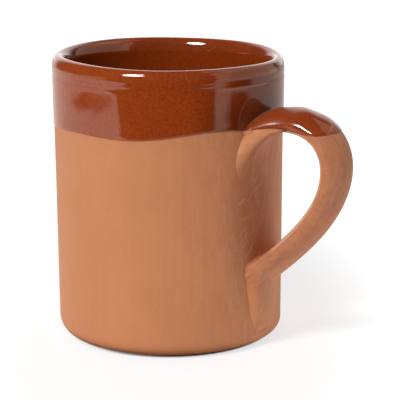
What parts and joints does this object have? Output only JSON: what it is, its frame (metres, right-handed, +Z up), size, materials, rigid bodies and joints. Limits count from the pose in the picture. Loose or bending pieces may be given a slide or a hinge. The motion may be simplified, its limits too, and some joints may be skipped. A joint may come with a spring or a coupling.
{
  "type": "glazed terracotta mug",
  "caption": "Straight-sided terracotta mug with a strap handle, bare clay below and glossy brown glaze over the rim, the inside and the handle's shoulder.",
  "frame": {"origin": "centre of the flat foot, on the surface that the mug stands on", "axes": "+Z up through the mouth, +X towards the handle, +Y across the handle"},
  "size_m": [0.1087, 0.079, 0.097],
  "materials": {
    "bare_terracotta": "unglazed fired clay, matt, wiped by hand",
    "brown_glaze": "glossy transparent brown glaze over red clay"
  },
  "bodies": {
    "root": {"thrown_cup": "bare_terracotta", "pulled_handle": "bare_terracotta", "upper_root_slip": "bare_terracotta", "lower_root_slip": "bare_terracotta", "glaze_lining": "brown_glaze", "glaze_band": "brown_glaze", "handle_glaze": "brown_glaze"}
  },
  "joints": []
}
